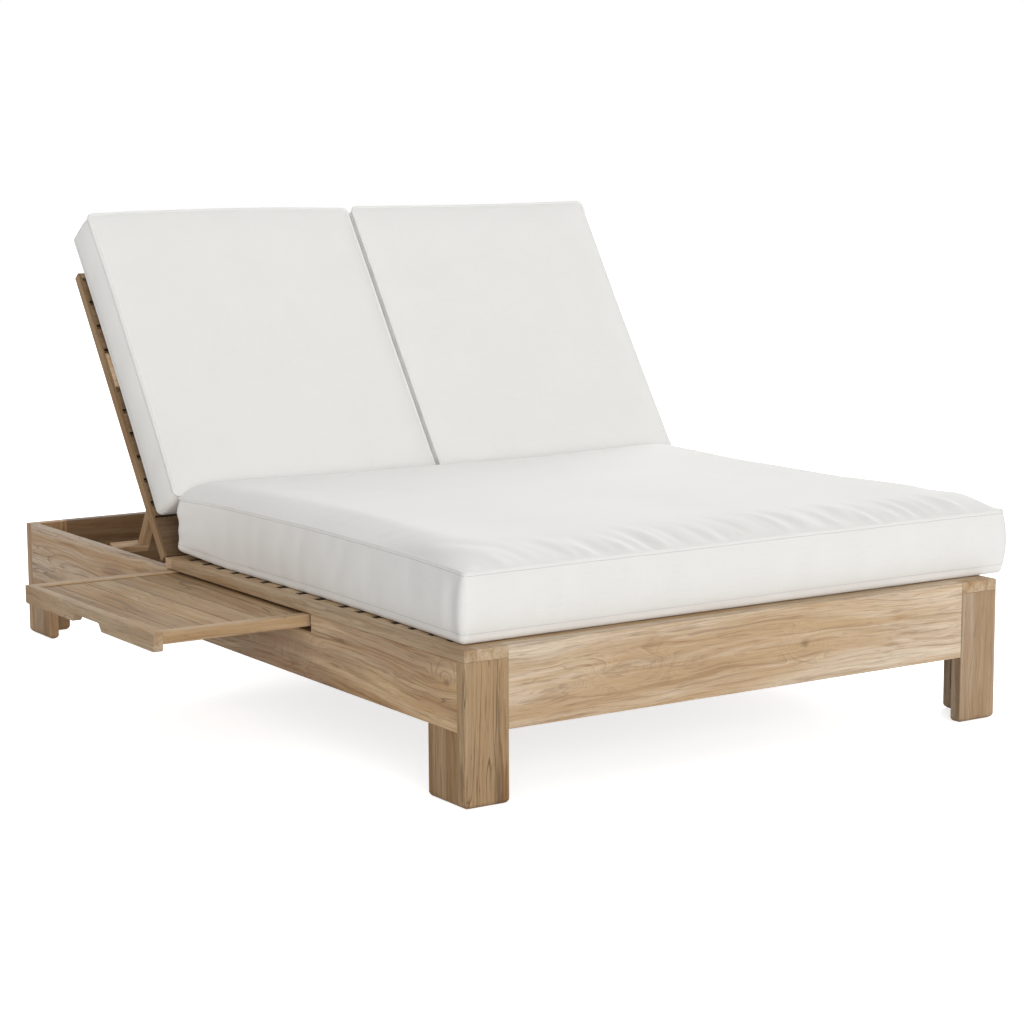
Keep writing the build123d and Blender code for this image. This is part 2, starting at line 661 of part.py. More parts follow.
def add_cushion(plane, x_span, y_span, fall, boxing, crown, draw, left_low):
    # draw: how far the left, right, front and rear sides pull in between the corners;
    # left_low is the left side's own at the lower seam
    draw_top, draw_right, draw_front, draw_rear = draw
    rings = []
    for height, inset in cushion_profile(fall, boxing, crown):
        x_low, x_high = x_span[0] + inset, x_span[1] - inset
        y_low, y_high = y_span[0] + inset, y_span[1] - inset
        x_middle, y_middle = (x_low + x_high) / 2, (y_low + y_high) / 2
        draw_left = left_low + (draw_top - left_low) * min(1, max(0, (height - fall) / boxing))
        with BuildSketch(plane.offset(height)) as ring:
            with BuildLine():
                ThreePointArc((x_low, y_low), (x_middle, y_low + draw_front), (x_high, y_low))
                ThreePointArc((x_high, y_low), (x_high - draw_right, y_middle), (x_high, y_high))
                ThreePointArc((x_high, y_high), (x_middle, y_high - draw_rear), (x_low, y_high))
                ThreePointArc((x_low, y_high), (x_low + draw_left, y_middle), (x_low, y_low))
            make_face()
            fillet(ring.vertices(), cushion_corner)
        rings.append(ring.sketch)
    loft(rings, ruled=True)


with BuildPart() as seat_cushion:
    add_cushion(Plane.XY.offset(deck_height),
                (box_left + seat_cushion_left, box_right + seat_cushion_right),
                (box_front + seat_cushion_front, deck_rear - seat_cushion_rear),
                seat_cushion_fall, seat_cushion_boxing, seat_cushion_crown,
                (seat_draw_left, seat_draw_right, seat_draw_ends, seat_draw_ends),
                seat_draw_left_low)
seat_cushion.part.label = "seat_cushion"
export_step(seat_cushion.part, "parts/seat_cushion.step")

cushion_split = box_middle + back_cushion_shift
left_x = (box_left + back_cushion_left, cushion_split - back_cushion_gap / 2)
right_x = (cushion_split + back_cushion_gap / 2, box_right + back_cushion_right)
for side, cushion_x in (("left", left_x), ("right", right_x)):
    with BuildPart() as back_cushion:
        add_cushion(back_plane, cushion_x, (back_cushion_start, back_length + back_cushion_over),
                    back_cushion_fall, back_cushion_boxing, back_cushion_crown,
                    (back_draw, back_draw, back_draw, back_draw), back_draw)
    back_cushion.part.label = f"{side}_back_cushion"
    export_step(back_cushion.part, f"parts/{side}_back_cushion.step")
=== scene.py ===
import bpy
import bmesh
import json
import random
from math import cos, pi, radians, sin, tanh
from mathutils import Matrix, Vector, noise
from mathutils.bvhtree import BVHTree


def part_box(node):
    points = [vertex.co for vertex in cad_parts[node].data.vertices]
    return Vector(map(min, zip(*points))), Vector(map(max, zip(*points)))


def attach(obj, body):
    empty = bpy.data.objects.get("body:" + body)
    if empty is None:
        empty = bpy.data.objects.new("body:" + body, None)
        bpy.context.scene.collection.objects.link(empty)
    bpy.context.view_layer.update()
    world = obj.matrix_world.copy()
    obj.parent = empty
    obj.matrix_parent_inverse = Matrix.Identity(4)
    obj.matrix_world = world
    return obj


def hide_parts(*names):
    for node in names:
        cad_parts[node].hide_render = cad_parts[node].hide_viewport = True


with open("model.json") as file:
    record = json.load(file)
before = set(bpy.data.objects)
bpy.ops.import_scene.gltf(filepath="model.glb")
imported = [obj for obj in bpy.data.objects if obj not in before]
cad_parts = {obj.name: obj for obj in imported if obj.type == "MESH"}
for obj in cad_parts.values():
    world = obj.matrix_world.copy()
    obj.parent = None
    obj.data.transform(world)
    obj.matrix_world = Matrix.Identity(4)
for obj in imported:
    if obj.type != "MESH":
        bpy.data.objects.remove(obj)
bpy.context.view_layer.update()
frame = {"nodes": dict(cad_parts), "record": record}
bodies = frame["record"]["behaviour"]["bodies"]
bodyOf = {node: body for body, members in bodies.items() for node in members}
print("frame loaded:", len(frame["nodes"]), "nodes")


def linear(value):
    # a picker value from 0 to 255, made linear
    share = value / 255
    return share / 12.92 if value < 10 else ((share + 0.055) / 1.055) ** 2.4


def colour(red, green, blue):
    return tuple(linear(value) for value in (red, green, blue)) + (1.0,)


# ---- shader helpers
def addNode(tree, kind, sockets=None, **settings):
    node = tree.nodes.new(kind)
    for key, value in settings.items():
        setattr(node, key, value)
    for key, value in (sockets or {}).items():
        if isinstance(value, bpy.types.NodeSocket):
            tree.links.new(value, node.inputs[key])
        else:
            node.inputs[key].default_value = value
    return node


def calc(tree, operation, first, second=0.0):
    return addNode(tree, "ShaderNodeMath", {0: first, 1: second}, operation=operation).outputs[0]


def vectorCalc(tree, operation, first, second=(0.0, 0.0, 0.0)):
    return addNode(tree, "ShaderNodeVectorMath", {0: first, 1: second}, operation=operation).outputs[0]


def stretch(tree, vector, scale):
    return vectorCalc(tree, "MULTIPLY", vector, scale)


def distance(tree, vector, scale):
    stretched = stretch(tree, vector, scale)
    return addNode(tree, "ShaderNodeVectorMath", {0: stretched}, operation="LENGTH").outputs["Value"]


def grainNoise(tree, vector, scale, detail=2.0, rough=0.5, output="Fac"):
    # scale: how many features fit in a metre along, across and behind
    sockets = {"Vector": stretch(tree, vector, scale), "Scale": 1.0, "Detail": detail, "Roughness": rough}
    return addNode(tree, "ShaderNodeTexNoise", sockets).outputs[output]


def fade(tree, value, low, high, outLow=0.0, outHigh=1.0):
    sockets = {"Value": value, "From Min": low, "From Max": high, "To Min": outLow, "To Max": outHigh}
    return addNode(tree, "ShaderNodeMapRange", sockets, interpolation_type="SMOOTHSTEP").outputs[0]


def blendColour(tree, factor, first, second, mode="MIX"):
    sockets = {0: factor, 6: first, 7: second}
    return addNode(tree, "ShaderNodeMix", sockets, data_type="RGBA", blend_type=mode).outputs[2]


def addBump(tree, shader, height, strength, depth):
    bump = addNode(tree, "ShaderNodeBump", {"Strength": strength, "Distance": depth, "Height": height})
    tree.links.new(bump.outputs["Normal"], shader.inputs["Normal"])


def attribute(tree, name, output="Vector"):
    return addNode(tree, "ShaderNodeAttribute", attribute_name=name).outputs[output]


def newGroup(name, inputs, outputs):
    group = bpy.data.node_groups.new(name, "ShaderNodeTree")
    for direction, sockets in (("INPUT", inputs), ("OUTPUT", outputs)):
        for label, kind in sockets:
            group.interface.new_socket(label, in_out=direction, socket_type="NodeSocket" + kind)
    return group, group.nodes.new("NodeGroupInput"), group.nodes.new("NodeGroupOutput")


# ---- teak
teak = {
    "cream": colour(232, 214, 189),
    "pale": colour(219, 196, 166),
    "honey": colour(196, 163, 123),
    "mauve": colour(156, 133, 118),
    "ringLine": colour(134, 96, 58),
    "streak": colour(104, 84, 66),
    "pore": colour(84, 60, 40),
    "ringWidth": 0.011,
    "knotReach": 0.052,               # how far from a knot or an eye the rings bend, and by how many rings
    "knotPush": 5.0,
    "eyeReach": 0.055,
    "eyePush": 4.5,
    "knotHeart": 0.011,
    "knotStretch": (0.60, 1.0, 1.0),
    "eyeStretch": (0.38, 1.0, 1.0),
    "creamShare": 0.50,               # how strongly each layer of the figure colours the wood
    "fibreShare": 0.26,
    "fineLineShare": 0.20,
    "hairShare": 0.42,
    "streakShare": 0.42,
    "lineShare": 0.58,
    "veinShare": 0.62,
    "poreShare": 0.26,
    "knotShare": 0.75,
    "roughness": 0.58,
    "fibreRoughness": 0.14,
    "bump": 0.35,
    "bumpDepth": 0.0007,
    "specular": 0.35,
}


def buildTeakFigure():
    # Figure carries a board's own character: mauve cast, dark streaks, ring contrast
    inputs = [(label, "Vector") for label in ("Spot", "Knot", "Eye", "Figure")] + [("Tint", "Color")]
    outputs = [("Color", "Color"), ("Roughness", "Float"), ("Height", "Float")]
    group, start, end = newGroup("teakFigure", inputs, outputs)
    spot = start.outputs["Spot"]
    mauveCast, darkStreaks, ringContrast = addNode(
        group, "ShaderNodeSeparateXYZ", {0: start.outputs["Figure"]}).outputs

    def specks(vector, scale, detail, low, high, rough=0.5, outLow=0.0, outHigh=1.0):
        return fade(group, grainNoise(group, vector, scale, detail, rough), low, high, outLow, outHigh)

    def weigh(mask, share):
        return calc(group, "MULTIPLY", mask, share)

    def wander(vector, scale, detail, amount):
        # moves the rings across the board, and leaves their run along it
        wobble = grainNoise(group, spot, scale, detail, output="Color")
        wobble = vectorCalc(group, "SUBTRACT", wobble, (0.5, 0.5, 0.5))
        return vectorCalc(group, "ADD", vector, stretch(group, wobble, (0.0, amount, amount)))

    bent = wander(spot, (1.3, 5.0, 5.0), 2.0, 0.085)
    bent = wander(bent, (7.0, 26.0, 26.0), 1.0, 0.010)
    radius = distance(group, bent, (0.0, 1.0, 1.0))
    knotAway = distance(group, start.outputs["Knot"], teak["knotStretch"])
    knotPush = fade(group, knotAway, 0.0, teak["knotReach"], teak["knotPush"], 0.0)
    knotHeart = fade(group, knotAway, 0.001, teak["knotHeart"], 0.7, 0.0)
    eyeAway = distance(group, start.outputs["Eye"], teak["eyeStretch"])
    eyePush = fade(group, eyeAway, 0.0, teak["eyeReach"], teak["eyePush"], 0.0)
    drift = grainNoise(group, spot, (1.9, 15.0, 15.0))
    rings = calc(group, "DIVIDE", radius, teak["ringWidth"])
    for share in (weigh(drift, 4.5), knotPush, eyePush):
        rings = calc(group, "ADD", rings, share)
    sharp = specks(spot, (1.7, 24.0, 24.0), 1.0, 0.35, 0.65, outLow=3.0, outHigh=13.0)
    line = calc(group, "POWER", calc(group, "FRACT", rings), sharp)
    strength = specks(spot, (1.8, 21.0, 21.0), 2.0, 0.38, 0.60, outLow=0.20)
    line = weigh(weigh(line, strength), ringContrast)
    fineLine = calc(group, "POWER", calc(group, "FRACT", weigh(rings, 3.3)), 4.0)
    # thin dark veins where a slow noise crosses its middle value
    vein = grainNoise(group, bent, (1.5, 25.0, 25.0))
    vein = fade(group, calc(group, "ABSOLUTE", calc(group, "SUBTRACT", vein, 0.5)), 0.0, 0.011, 1.0, 0.0)
    veinMask = specks(spot, (3.0, 15.0, 15.0), 1.0, 0.46, 0.60)
    vein = weigh(weigh(vein, veinMask), darkStreaks)
    hairs = weigh(specks(bent, (2.4, 125.0, 125.0), 3.0, 0.54, 0.66, 0.55), ringContrast)
    fibres = grainNoise(group, spot, (8.0, 300.0, 300.0), 4.0, 0.65)
    pores = specks(spot, (30.0, 560.0, 560.0), 1.0, 0.60, 0.74)
    streaks = weigh(specks(bent, (1.2, 42.0, 42.0), 3.0, 0.55, 0.70, 0.6), darkStreaks)
    bands = specks(bent, (1.0, 17.0, 17.0), 3.0, 0.38, 0.62, 0.6)
    creams = specks(bent, (1.3, 30.0, 30.0), 3.0, 0.50, 0.68, 0.6)
    swirls = specks(bent, (1.1, 12.0, 12.0), 3.0, 0.44, 0.60, 0.6)
    body = blendColour(group, bands, teak["pale"], teak["honey"])
    layers = [
        (creams, teak["creamShare"], "cream"),
        (swirls, mauveCast, "mauve"),
        (fade(group, fibres, 0.3, 0.8), teak["fibreShare"], "ringLine"),
        (fineLine, teak["fineLineShare"], "ringLine"),
        (hairs, teak["hairShare"], "ringLine"),
        (streaks, teak["streakShare"], "streak"),
        (line, teak["lineShare"], "ringLine"),
        (vein, teak["veinShare"], "streak"),
        (pores, teak["poreShare"], "pore"),
        (knotHeart, teak["knotShare"], "pore"),
    ]
    for mask, share, tone in layers:
        body = blendColour(group, weigh(mask, share), body, teak[tone])
    body = blendColour(group, 1.0, body, start.outputs["Tint"], "MULTIPLY")
    group.links.new(body, end.inputs["Color"])
    rough = calc(group, "ADD", teak["roughness"], weigh(fibres, teak["fibreRoughness"]))
    group.links.new(rough, end.inputs["Roughness"])
    height = calc(group, "SUBTRACT", weigh(fibres, 0.6), weigh(pores, 0.7))
    height = calc(group, "SUBTRACT", height, weigh(line, 0.3))
    group.links.new(height, end.inputs["Height"])
    return group


teakFigure = buildTeakFigure()


def newMaterial(name):
    material = bpy.data.materials.new(name)
    material.use_nodes = True
    return material


def finishTeak(material, carried):
    tree = material.node_tree
    shader = tree.nodes["Principled BSDF"]
    wood = addNode(tree, "ShaderNodeGroup", node_tree=teakFigure)
    for label, value in carried.items():
        if isinstance(value, bpy.types.NodeSocket):
            tree.links.new(value, wood.inputs[label])
        else:
            wood.inputs[label].default_value = value
    tree.links.new(wood.outputs["Color"], shader.inputs["Base Color"])
    tree.links.new(wood.outputs["Roughness"], shader.inputs["Roughness"])
    addBump(tree, shader, wood.outputs["Height"], teak["bump"], teak["bumpDepth"])
    shader.inputs["Specular IOR Level"].default_value = teak["specular"]
    return material


def boardTeak():
    # for boards that carry their own grain coordinates
    material = newMaterial("teakBoards")
    tree = material.node_tree
    sources = {"Spot": "grainSpot", "Knot": "knotSpot", "Eye": "eyeSpot", "Figure": "boardFigure"}
    carried = {label: attribute(tree, name) for label, name in sources.items()}
    # the board tint attribute carries painted shade as well as each board's own tint
    carried["Tint"] = attribute(tree, "boardTint", "Color")
    return finishTeak(material, carried)


def innerTeak(name, turn, heart, tint):
    # for the hidden structure: Object coordinates turned so that X runs along the grain
    material = newMaterial(name)
    tree = material.node_tree
    place = addNode(tree, "ShaderNodeTexCoord").outputs["Object"]
    sockets = {"Vector": place, "Rotation": turn, "Location": heart}
    spot = addNode(tree, "ShaderNodeMapping", sockets).outputs["Vector"]
    farAway = (9.0, 9.0, 9.0)
    return finishTeak(material, {"Spot": spot, "Knot": farAway, "Eye": farAway, "Figure": (0.2, 0.4, 0.7),
                                 "Tint": tint})


# ---- boards: every visible board is an eased copy of its CAD node with its own grain
backAngle = radians(54.85)
propAngle = radians(-59.5)
boards = {
    "easedEdge": 0.0011,
    "variation": 0.055,
    "tint": (0.86, 0.84, 0.80),
    "gapShade": 0.16,                 # painted shade on the sides of slats and planks, in their gaps
    "figure": (0.15, 0.45, 0.7),      # mauve cast, dark streaks and ring contrast of an ordinary board
    "grainRun": 18.0,                 # how far along the grain two boards may lie from each other, in metres
    "sharpEdge": 35,                  # degrees
    "nowhere": (9.0, 9.0),            # a place too far off for a knot to show
}
grainAxis = {"left_corner_staves": 1, "right_corner_staves": 1}
# where the tree's heart lies beside a board (across, behind) and how far it leans per metre
heartOf = {
    "front_rail": ((0.012, 0.034), 0.020),
    "rear_rail": ((-0.010, 0.040), 0.024),
    "left_side_rail": ((0.018, 0.030), 0.018),
    "right_side_rail": ((-0.015, 0.033), -0.017),
    "left_deck_board": ((0.09, 0.03), 0.01),
    "right_deck_board": ((0.09, 0.03), -0.01),
    "left_tray_end": ((0.05, 0.02), 0.02),
    "front_left_leg": ((0.11, 0.02), 0.03),
}
tintOf = {
    "front_rail": (1.06, 1.11, 1.19),
    "left_side_rail": (0.93, 0.91, 0.89),
    "right_side_rail": (0.93, 0.91, 0.89),
    "front_left_leg": (0.65, 0.575, 0.46),
    "front_right_leg": (0.80, 0.81, 0.83),
    "rear_left_leg": (0.66, 0.60, 0.54),
    "rear_right_leg": (0.68, 0.63, 0.56),
    # painted shade: the rear rail, the back's bottom board and its slats are tinted darker for the shade of the
    # backrest and cushions
    "rear_rail": (0.36, 0.31, 0.25),
    "back_bottom_board": (0.24, 0.20, 0.165),
    "back_slats": (0.60, 0.52, 0.42),
    "left_back_stile": (0.62, 0.56, 0.47),
    "right_back_stile": (0.62, 0.56, 0.47),
    "left_tray_planks": (0.77, 0.71, 0.60),
    "right_tray_planks": (0.77, 0.71, 0.60),
    "left_tray_end": (0.84, 0.83, 0.80),
    "right_tray_end": (0.84, 0.83, 0.80),
}
# painted shade on upper faces: the rails round the well, and the back frame beside its cushions
paintedTopShadeOf = {
    "left_side_rail": 0.66,
    "right_side_rail": 0.66,
    "rear_rail": 0.66,
    "back_slats": 0.50,
    "left_back_stile": 0.60,
    "right_back_stile": 0.60,
    "back_top_bar": 0.55,
    "back_top_rail": 0.60,
}
# how a board's tint changes per metre towards its rear or right end
driftOf = {"left_side_rail": (-0.110, -0.065, 0.035), "right_side_rail": (-0.110, -0.065, 0.035)}
# how wild a board is: mauve cast, dark streaks, ring contrast
figureOf = {
    "front_rail": (0.10, 0.45, 0.85),
    "left_side_rail": (0.55, 0.95, 1.20),
    "right_side_rail": (0.60, 0.60, 0.85),
    "front_left_leg": (0.10, 1.50, 1.15),
    "front_right_leg": (0.20, 0.55, 0.80),
    "rear_left_leg": (0.30, 0.70, 0.80),
    "left_tray_planks": (0.45, 1.25, 0.70),
    "right_tray_planks": (0.45, 1.25, 0.70),
    "left_tray_end": (0.25, 0.60, 0.75),
}
# knots and eyes: distance along the board from its middle, and across it (metres)
knotOf = {
    "front_rail": (0.147, 0.0),
    "left_side_rail": (-1.000, 0.022),
    "rear_rail": (0.21, -0.02),
    "right_side_rail": (0.40, 0.02),
}
eyeOf = {
    "front_rail": (-0.300, 0.0),
    "left_side_rail": (-0.42, -0.012),
    "right_side_rail": (-0.55, 0.01),
    "rear_rail": (-0.30, 0.01),
    "left_tray_end": (0.12, 0.004),
}
innerNodes = {
    "corner_blocks": "up",
    "front_centre_beam": "rearward",
    "rear_centre_beam": "rearward",
    "hinge_beam": "sideways",
    "left_rack_ledger": "sideways",
    "right_rack_ledger": "sideways",
    "front_tray_runners": "sideways",
    "rear_tray_runners": "sideways",
    "left_tray_stop": "rearward",
    "right_tray_stop": "rearward",
    "left_tray_inner_rail": "rearward",
    "right_tray_inner_rail": "rearward",
}
metalNodes = ["deck_hinge_leaves", "hinge_pins", "back_hinge_leaves", "prop_pins"]
cushionNodes = ["seat_cushion", "left_back_cushion", "right_back_cushion"]


def boardTurn(body):
    # turns world coordinates so that a body's boards lie square to the axes
    angle = {"backrest": backAngle, "prop": propAngle}.get(body, 0.0)
    return Matrix.Rotation(-angle, 3, "X")


def boardIslands(work):
    seen = set()
    for first in work.verts:
        if first.index in seen:
            continue
        island, waiting = [], [first]
        seen.add(first.index)
        while waiting:
            vert = waiting.pop()
            island.append(vert)
            for edge in vert.link_edges:
                other = edge.other_vert(vert)
                if other.index not in seen:
                    seen.add(other.index)
                    waiting.append(other)
        yield island


def easedCopy(nodeName):
    work = bmesh.new()
    work.from_mesh(frame["nodes"][nodeName].data)
    bmesh.ops.remove_doubles(work, verts=work.verts, dist=0.00002)
    bmesh.ops.dissolve_limit(work, angle_limit=radians(0.6), verts=work.verts, edges=work.edges)
    limit = radians(boards["sharpEdge"])
    sharp = [edge for edge in work.edges if edge.is_manifold and edge.calc_face_angle(0.0) > limit]
    bmesh.ops.bevel(work, geom=sharp, offset=boards["easedEdge"], offset_type="OFFSET", segments=2,
                    profile=0.5, affect="EDGES", clamp_overlap=True, material=-1)
    work.verts.index_update()
    return work


def easeBoards(nodeName, material):
    work = easedCopy(nodeName)
    turn = boardTurn(bodyOf[nodeName])
    dice = random.Random(nodeName)
    (heartAcross, heartBehind), lean = heartOf.get(nodeName, ((None, None), None))
    figure = figureOf.get(nodeName, boards["figure"])
    base = tintOf.get(nodeName, boards["tint"])
    drift = driftOf.get(nodeName, (0.0, 0.0, 0.0))
    knotAlong, knotAcross = knotOf.get(nodeName, boards["nowhere"])
    eyeAlong, eyeAcross = eyeOf.get(nodeName, boards["nowhere"])
    spots, knots, eyes, tints, sides = {}, {}, {}, {}, {}
    for island in boardIslands(work):
        local = [turn @ vert.co for vert in island]
        low = Vector([min(p[axis] for p in local) for axis in range(3)])
        high = Vector([max(p[axis] for p in local) for axis in range(3)])
        middle, size = (low + high) / 2, high - low
        order = sorted(range(3), key=lambda axis: -size[axis])
        if nodeName in grainAxis:
            order.remove(grainAxis[nodeName])
            order.insert(0, grainAxis[nodeName])
        shift = dice.uniform(0, boards["grainRun"])
        if heartAcross is None:
            beside = dice.choice((-1, 1)) * dice.uniform(0.035, 0.13)
            below, slope = dice.uniform(0.02, 0.06), dice.uniform(-0.03, 0.03)
        else:
            beside, below, slope = heartAcross, heartBehind, lean
        tone = 1 + dice.uniform(-1, 1) * boards["variation"]
        warm = dice.uniform(-1, 1) * 0.02
        tint = (base[0] * tone, base[1] * tone * (1 - warm * 0.4), base[2] * tone * (1 - warm))
        for vert, p in zip(island, local):
            along, wide, deep = (p[axis] - middle[axis] for axis in order)
            spots[vert.index] = (along + shift, wide + beside, deep + below + slope * along)
            knots[vert.index] = (along - knotAlong, wide - knotAcross, deep * 0.2)
            eyes[vert.index] = (along - eyeAlong, wide - eyeAcross, deep * 0.3)
            tints[vert.index] = [t + d * along for t, d in zip(tint, drift)]
            sides[vert.index] = order[1]
    mesh = bpy.data.meshes.new(nodeName + "Board")
    work.to_mesh(mesh)
    work.free()
    # painted shade: the sides of slats and planks that face their gaps are darkened
    gapShade = boards["gapShade"] if nodeName.endswith(("slats", "planks")) else 1.0
    paintedTopShade = paintedTopShadeOf.get(nodeName, 1.0)
    corners = []
    for face in mesh.polygons:
        turned = turn @ face.normal
        shade = gapShade if abs(turned[sides[face.vertices[0]]]) > 0.8 else 1.0
        # painted shade: the upper faces of the boards listed above are darkened
        shade = paintedTopShade if turned.z > 0.5 else shade
        for index in face.vertices:
            corners.extend([v * shade for v in tints[index]] + [1.0])
    # each corner's colour is the board's tint times its painted shade
    mesh.attributes.new("boardTint", "FLOAT_COLOR", "CORNER").data.foreach_set("color", corners)
    figures = dict.fromkeys(range(len(mesh.vertices)), figure)
    stores = {"grainSpot": spots, "knotSpot": knots, "eyeSpot": eyes, "boardFigure": figures}
    for label, store in stores.items():
        layer = mesh.attributes.new(label, "FLOAT_VECTOR", "POINT")
        layer.data.foreach_set("vector", [v for index in range(len(mesh.vertices)) for v in store[index]])
    mesh.materials.append(material)
    piece = bpy.data.objects.new(nodeName + "Eased", mesh)
    bpy.context.scene.collection.objects.link(piece)
    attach(piece, bodyOf[nodeName])
    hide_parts(nodeName)


def useMaterial(nodeName, material):
    data = frame["nodes"][nodeName].data
    data.materials.clear()
    data.materials.append(material)


teakBoards = boardTeak()
innerTint = (0.36, 0.30, 0.24, 1.0)
innerTeaks = {
    "sideways": innerTeak("teakSideways", (0.0, 0.0, 0.0), (3.0, -0.30, -0.20), innerTint),
    "rearward": innerTeak("teakRearward", (0.0, 0.0, -pi / 2), (5.0, 0.10, -0.20), innerTint),
    "up": innerTeak("teakUpright", (0.0, pi / 2, 0.0), (7.0, 0.06, 0.04), innerTint),
}
for nodeName in frame["nodes"]:
    if nodeName in innerNodes:
        useMaterial(nodeName, innerTeaks[innerNodes[nodeName]])
    elif nodeName not in metalNodes and nodeName not in cushionNodes:
        easeBoards(nodeName, teakBoards)
print("boards eased and grained")


# ---- hinge metal
steel = {
    "base": colour(168, 166, 160),
    "dull": colour(128, 124, 116),
    "dullShare": 0.5,
    "roughness": 0.34,
    "scratch": 0.12,
    "bump": 0.2,
    "bumpDepth": 0.0002,
}


def hingeSteel():
    material = newMaterial("hingeSteel")
    tree = material.node_tree
    shader = tree.nodes["Principled BSDF"]
    place = addNode(tree, "ShaderNodeTexCoord").outputs["Object"]
    brushed = grainNoise(tree, place, (60.0, 1400.0, 1400.0), 3.0, 0.6)
    dull = grainNoise(tree, place, (90.0, 90.0, 90.0))
    dull = fade(tree, dull, 0.35, 0.7, 0.0, steel["dullShare"])
    tree.links.new(blendColour(tree, dull, steel["base"], steel["dull"]), shader.inputs["Base Color"])
    rough = calc(tree, "ADD", steel["roughness"], calc(tree, "MULTIPLY", brushed, steel["scratch"]))
    tree.links.new(rough, shader.inputs["Roughness"])
    addBump(tree, shader, brushed, steel["bump"], steel["bumpDepth"])
    shader.inputs["Metallic"].default_value = 1.0
    return material


metal = hingeSteel()
for nodeName in metalNodes:
    useMaterial(nodeName, metal)

# ---- canvas
canvas = {
    "base": colour(238, 237, 234),
    "shade": colour(214, 213, 211),
    "threadPitch": 0.0044,
    "weave": 0.20,                    # how strongly weave, thick threads and soft clouds shade the cloth
    "slubs": 0.16,
    "clouds": 0.22,
    "bump": 0.30,
    "bumpDepth": 0.0004,
    "roughness": 0.92,
    "specular": 0.2,
    "sheen": 0.15,
    "sheenRoughness": 0.5,
    "stitch": colour(172, 170, 166),
    "stitchDark": colour(142, 139, 135),
    "stitchRoughness": 0.7,
}


def buildCanvasWeave():
    outputs = [("Color", "Color"), ("Height", "Float")]
    group, start, end = newGroup("canvasWeave", [("Spot", "Vector")], outputs)
    spot = start.outputs["Spot"]
    parts = addNode(group, "ShaderNodeSeparateXYZ", {0: spot}).outputs

    def weigh(mask, share):
        return calc(group, "MULTIPLY", mask, share)

    def waves(axis):
        pace = 2 * pi / canvas["threadPitch"]
        return calc(group, "SINE", weigh(calc(group, "ADD", parts[axis], parts["Z"]), pace))

    def thickThreads(scale):
        return fade(group, grainNoise(group, spot, scale, 3.0, 0.6), 0.5, 0.8)

    weave = weigh(waves("X"), waves("Y"))
    slubs = calc(group, "ADD", thickThreads((18.0, 520.0, 300.0)), thickThreads((520.0, 18.0, 300.0)))
    clouds = grainNoise(group, spot, (7.0, 7.0, 7.0), 3.0)
    dark = calc(group, "ADD", weigh(slubs, canvas["slubs"]), weigh(clouds, canvas["clouds"]))
    dark = calc(group, "ADD", dark, weigh(weave, canvas["weave"]))
    group.links.new(blendColour(group, dark, canvas["base"], canvas["shade"]), end.inputs["Color"])
    height = calc(group, "ADD", weigh(weave, 0.5), weigh(slubs, 0.5))
    group.links.new(height, end.inputs["Height"])
    return group


canvasWeave = buildCanvasWeave()


def canvasCloth(name, fromAttribute=True):
    material = newMaterial(name)
    tree = material.node_tree
    shader = tree.nodes["Principled BSDF"]
    if fromAttribute:
        spot = attribute(tree, "clothSpot")
    else:
        spot = addNode(tree, "ShaderNodeTexCoord").outputs["Object"]
    weave = addNode(tree, "ShaderNodeGroup", node_tree=canvasWeave)
    tree.links.new(spot, weave.inputs["Spot"])
    tree.links.new(weave.outputs["Color"], shader.inputs["Base Color"])
    addBump(tree, shader, weave.outputs["Height"], canvas["bump"], canvas["bumpDepth"])
    shader.inputs["Roughness"].default_value = canvas["roughness"]
    shader.inputs["Specular IOR Level"].default_value = canvas["specular"]
    shader.inputs["Sheen Weight"].default_value = canvas["sheen"]
    shader.inputs["Sheen Roughness"].default_value = canvas["sheenRoughness"]
    return material


def threadFinish():
    material = newMaterial("seamThread")
    tree = material.node_tree
    shader = tree.nodes["Principled BSDF"]
    place = addNode(tree, "ShaderNodeTexCoord").outputs["Object"]
    twist = grainNoise(tree, place, (900.0, 900.0, 900.0))
    tone = blendColour(tree, twist, canvas["stitch"], canvas["stitchDark"])
    tree.links.new(tone, shader.inputs["Base Color"])
    shader.inputs["Roughness"].default_value = canvas["stitchRoughness"]
    return material


cloth = canvasCloth("canvasCloth")
weltCloth = canvasCloth("canvasWelt", False)
thread = threadFinish()

# ---- cushions
cushions = {
    "step": 0.012,             # spacing of the cloth's grid
    "levels": 9,               # rows of it on the boxing, between the seams' own rows
    "tolerance": 0.0003,       # heights nearer than this are the same level
    "bulge": 0.004,            # the seams lie this far inside the CAD cushion's sides
    "mass": 0.25,
    "stiffness": 18,
    "shear": 6,
    "bending": 0.8,
    "pressure": 4.0,
    "slack": -0.010,           # cloth a little larger than the foam
    "frames": 20,
    "swell": 0.006,            # the most that the cover moves off the foam
    "evening": 4,              # rounds of smoothing
    "wobble": 0.0016,          # how uneven the foam's edges are
    "seamEdge": 0.0062,        # from a seam to its row of topstitching
    "groove": 0.0005,
    "stitchPitch": 0.0046,
    "stitchLength": 0.0021,
    "stitchRadius": 0.0005,
    "fill": 0.9,
}
gathers = {
    "reach": 0.14,             # how far they run in from the seam
    "rise": 0.025,             # where they are full
    "fine": 44.0,              # fine and coarse gathers, clusters and broad unevenness, per metre
    "coarse": 17.0,
    "clusters": 2.1,
    "broad": 3.2,
}
